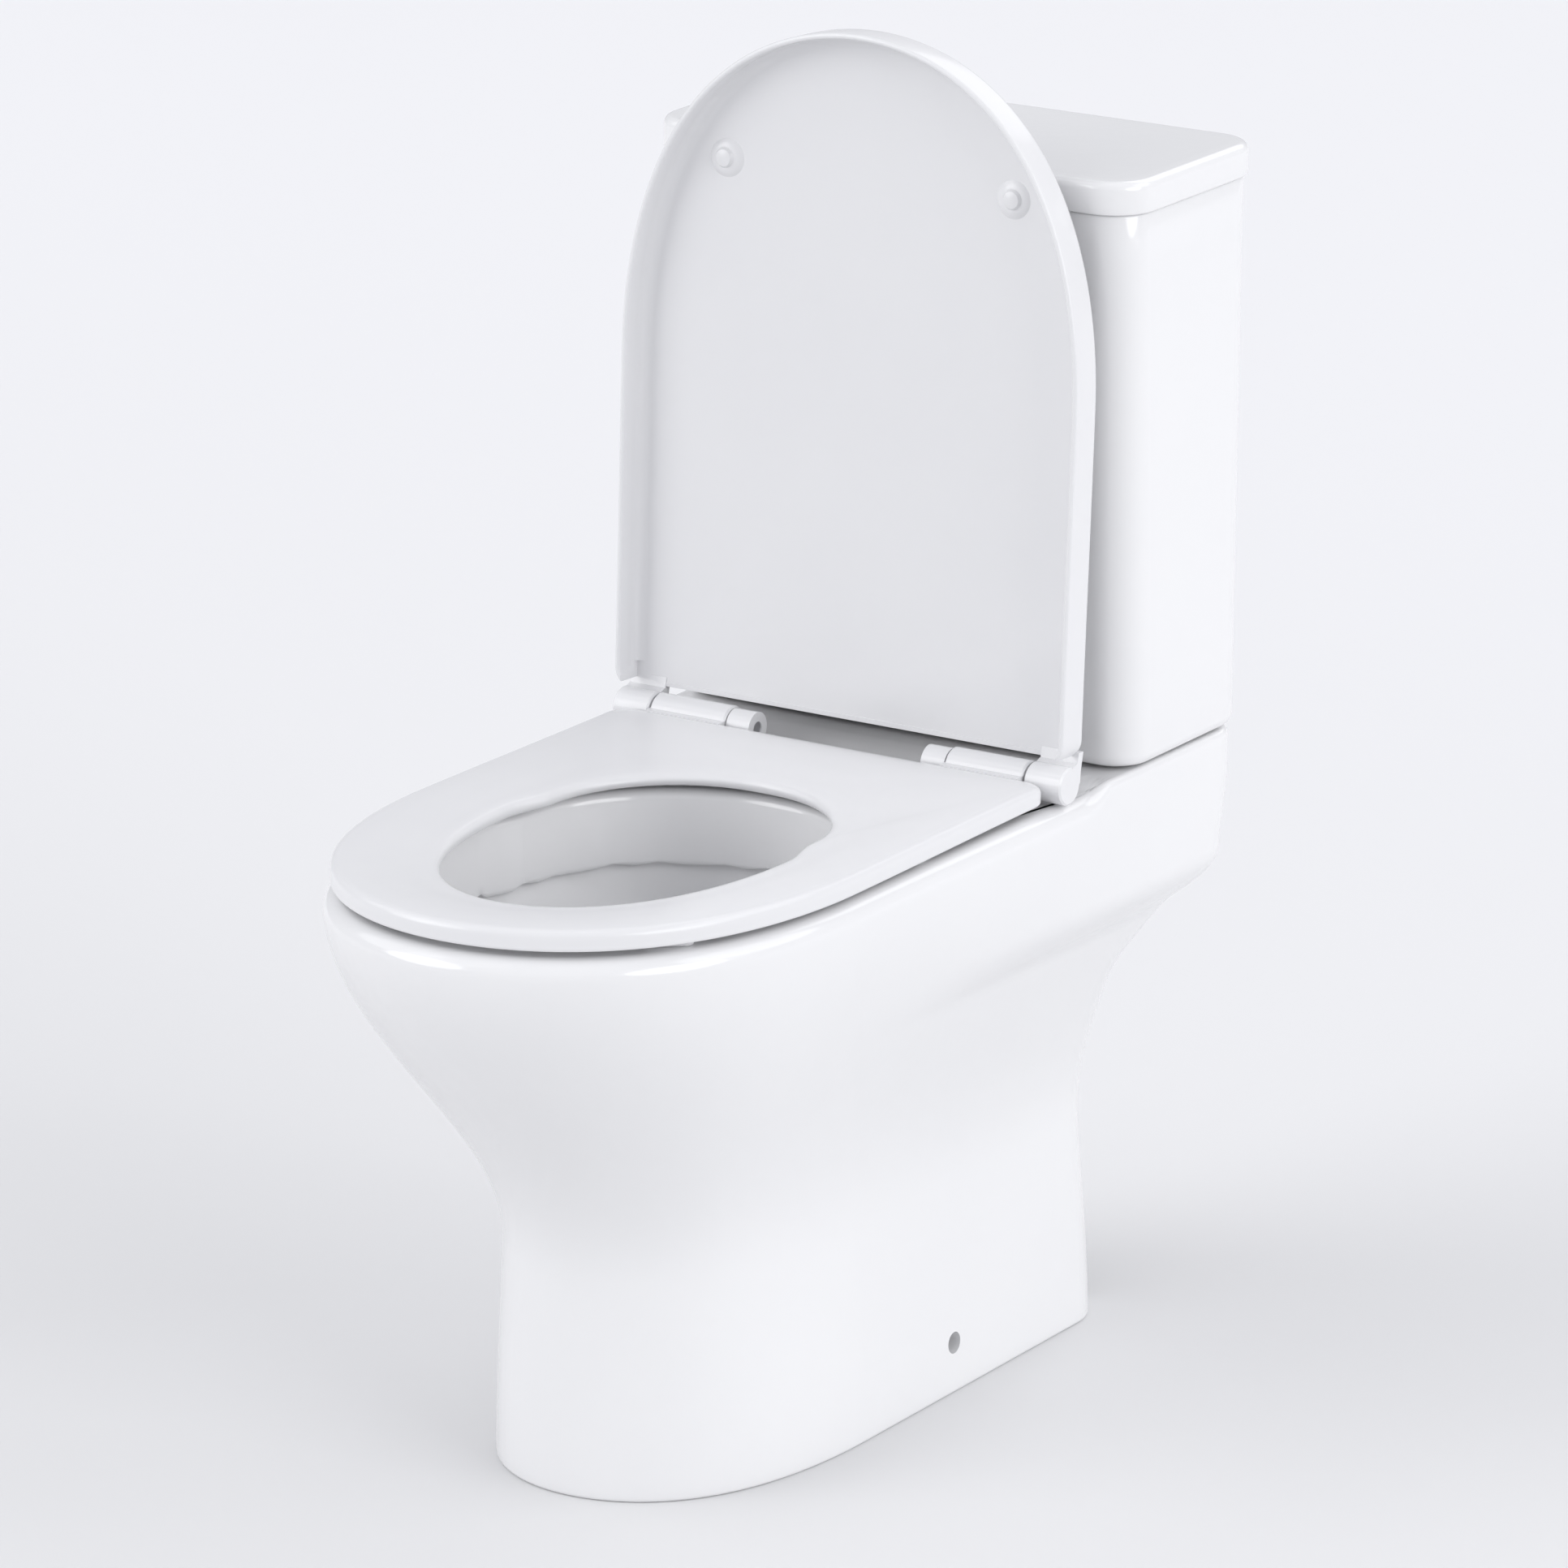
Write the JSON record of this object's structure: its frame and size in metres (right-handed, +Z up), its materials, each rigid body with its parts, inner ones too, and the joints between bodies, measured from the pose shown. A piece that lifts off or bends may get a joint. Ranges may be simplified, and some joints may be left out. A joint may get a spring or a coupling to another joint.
{
  "type": "close coupled toilet",
  "caption": "Close coupled toilet: skirted open-back pan, cistern with dual flush button and valves, and a soft close seat and lid, lid up.",
  "frame": {"origin": "on the floor, under the middle of the toilet's overall width and depth", "axes": "+Z up, -Y towards the front of the pan, +Y towards the wall, X across, right and left alike"},
  "size_m": [0.378, 0.704, 0.9039],
  "materials": {
    "white_clay": "glossy white glaze",
    "seat_plastic": "smooth semi-gloss white",
    "seat_rubber": "soft white",
    "bright_chrome": "polished",
    "valve_plastic": "moulded, off-white",
    "blue_plastic": "moulded",
    "red_plastic": "moulded",
    "grey_rubber": "matt",
    "zinc_steel": "zinc plated"
  },
  "bodies": {
    "toilet": {"pan": "white_clay", "cistern": "white_clay", "flush_valve_base": "valve_plastic", "flush_valve_cage": "valve_plastic", "flush_valve_head": "valve_plastic", "flush_valve_washer": "grey_rubber", "flush_valve_nut": "valve_plastic", "fill_valve_riser": "valve_plastic", "fill_valve_head": "valve_plastic", "fill_valve_washer": "grey_rubber", "fill_valve_nut": "valve_plastic", "coupling_gasket": "grey_rubber", "coupling_bolts": "zinc_steel", "coupling_rubbers": "grey_rubber", "coupling_washers": "zinc_steel", "coupling_wing_nuts": "zinc_steel", "hinge_post_left": "seat_plastic", "hinge_post_right": "seat_plastic", "hinge_pin_left": "zinc_steel", "hinge_pin_right": "zinc_steel", "hinge_cone_washers": "grey_rubber", "hinge_wing_nuts": "valve_plastic", "hinge_studs": "zinc_steel"},
    "seat": {"seat_ring": "seat_plastic", "seat_buffers": "seat_rubber", "hinge_damper_left": "valve_plastic", "hinge_damper_right": "valve_plastic"},
    "lid": {"seat_lid": "seat_plastic", "lid_buffers": "seat_rubber"},
    "cistern_cover": {"cistern_lid": "white_clay", "button_bezel": "bright_chrome", "button_nut": "valve_plastic"},
    "full_button": {"full_flush_button": "bright_chrome", "full_push_rod": "blue_plastic"},
    "half_button": {"half_flush_button": "bright_chrome", "half_push_rod": "red_plastic"},
    "full_plunger": {"full_flush_plunger": "blue_plastic"},
    "half_plunger": {"half_flush_plunger": "red_plastic"},
    "flush_stem": {"overflow_tube": "valve_plastic", "flush_float": "blue_plastic", "flush_seal": "grey_rubber"},
    "fill_float": {"fill_valve_float": "valve_plastic"},
    "fill_lever": {"fill_valve_lever": "blue_plastic"}
  },
  "joints": [
    {"name": "seat_hinge", "type": "hinge", "parent": "toilet", "child": "seat", "pos_m": [0, 0.129, 0.424], "axis": [-1, 0, 0], "range_deg": [0, 92]},
    {"name": "lid_hinge", "type": "hinge", "parent": "toilet", "child": "lid", "pos_m": [0, 0.129, 0.424], "axis": [-1, 0, 0], "range_deg": [-93, 0]},
    {"name": "cistern_lid_lift", "type": "slide", "parent": "toilet", "child": "cistern_cover", "axis": [0, 0, 1], "range_m": [0, 0.12]},
    {"name": "full_flush_press", "type": "slide", "parent": "cistern_cover", "child": "full_button", "axis": [0, 0, -1], "range_m": [0, 0.006], "stiffness_N_per_m": 300, "springref_m": -0.002},
    {"name": "half_flush_press", "type": "slide", "parent": "cistern_cover", "child": "half_button", "axis": [0, 0, -1], "range_m": [0, 0.006], "stiffness_N_per_m": 300, "springref_m": -0.002},
    {"name": "full_plunger_press", "type": "slide", "parent": "toilet", "child": "full_plunger", "axis": [0, 0, -1], "range_m": [0, 0.006]},
    {"name": "half_plunger_press", "type": "slide", "parent": "toilet", "child": "half_plunger", "axis": [0, 0, -1], "range_m": [0, 0.006]},
    {"name": "flush_stem_lift", "type": "slide", "parent": "toilet", "child": "flush_stem", "axis": [0, 0, 1], "range_m": [0, 0.012]},
    {"name": "fill_float_rise", "type": "slide", "parent": "toilet", "child": "fill_float", "axis": [0, 0, 1], "range_m": [0, 0.02]},
    {"name": "fill_lever_swing", "type": "hinge", "parent": "toilet", "child": "fill_lever", "pos_m": [-0.098, 0.297, 0.701], "axis": [0, -1, 0], "range_deg": [0, 32]}
  ],
  "couplings": [
    {"joint": "full_plunger_press", "follows": "full_flush_press", "ratio": 1},
    {"joint": "half_plunger_press", "follows": "half_flush_press", "ratio": 1},
    {"joint": "flush_stem_lift", "follows": "full_flush_press", "ratio": 2},
    {"joint": "fill_lever_swing", "follows": "fill_float_rise", "rad_per_m": 26.5}
  ]
}
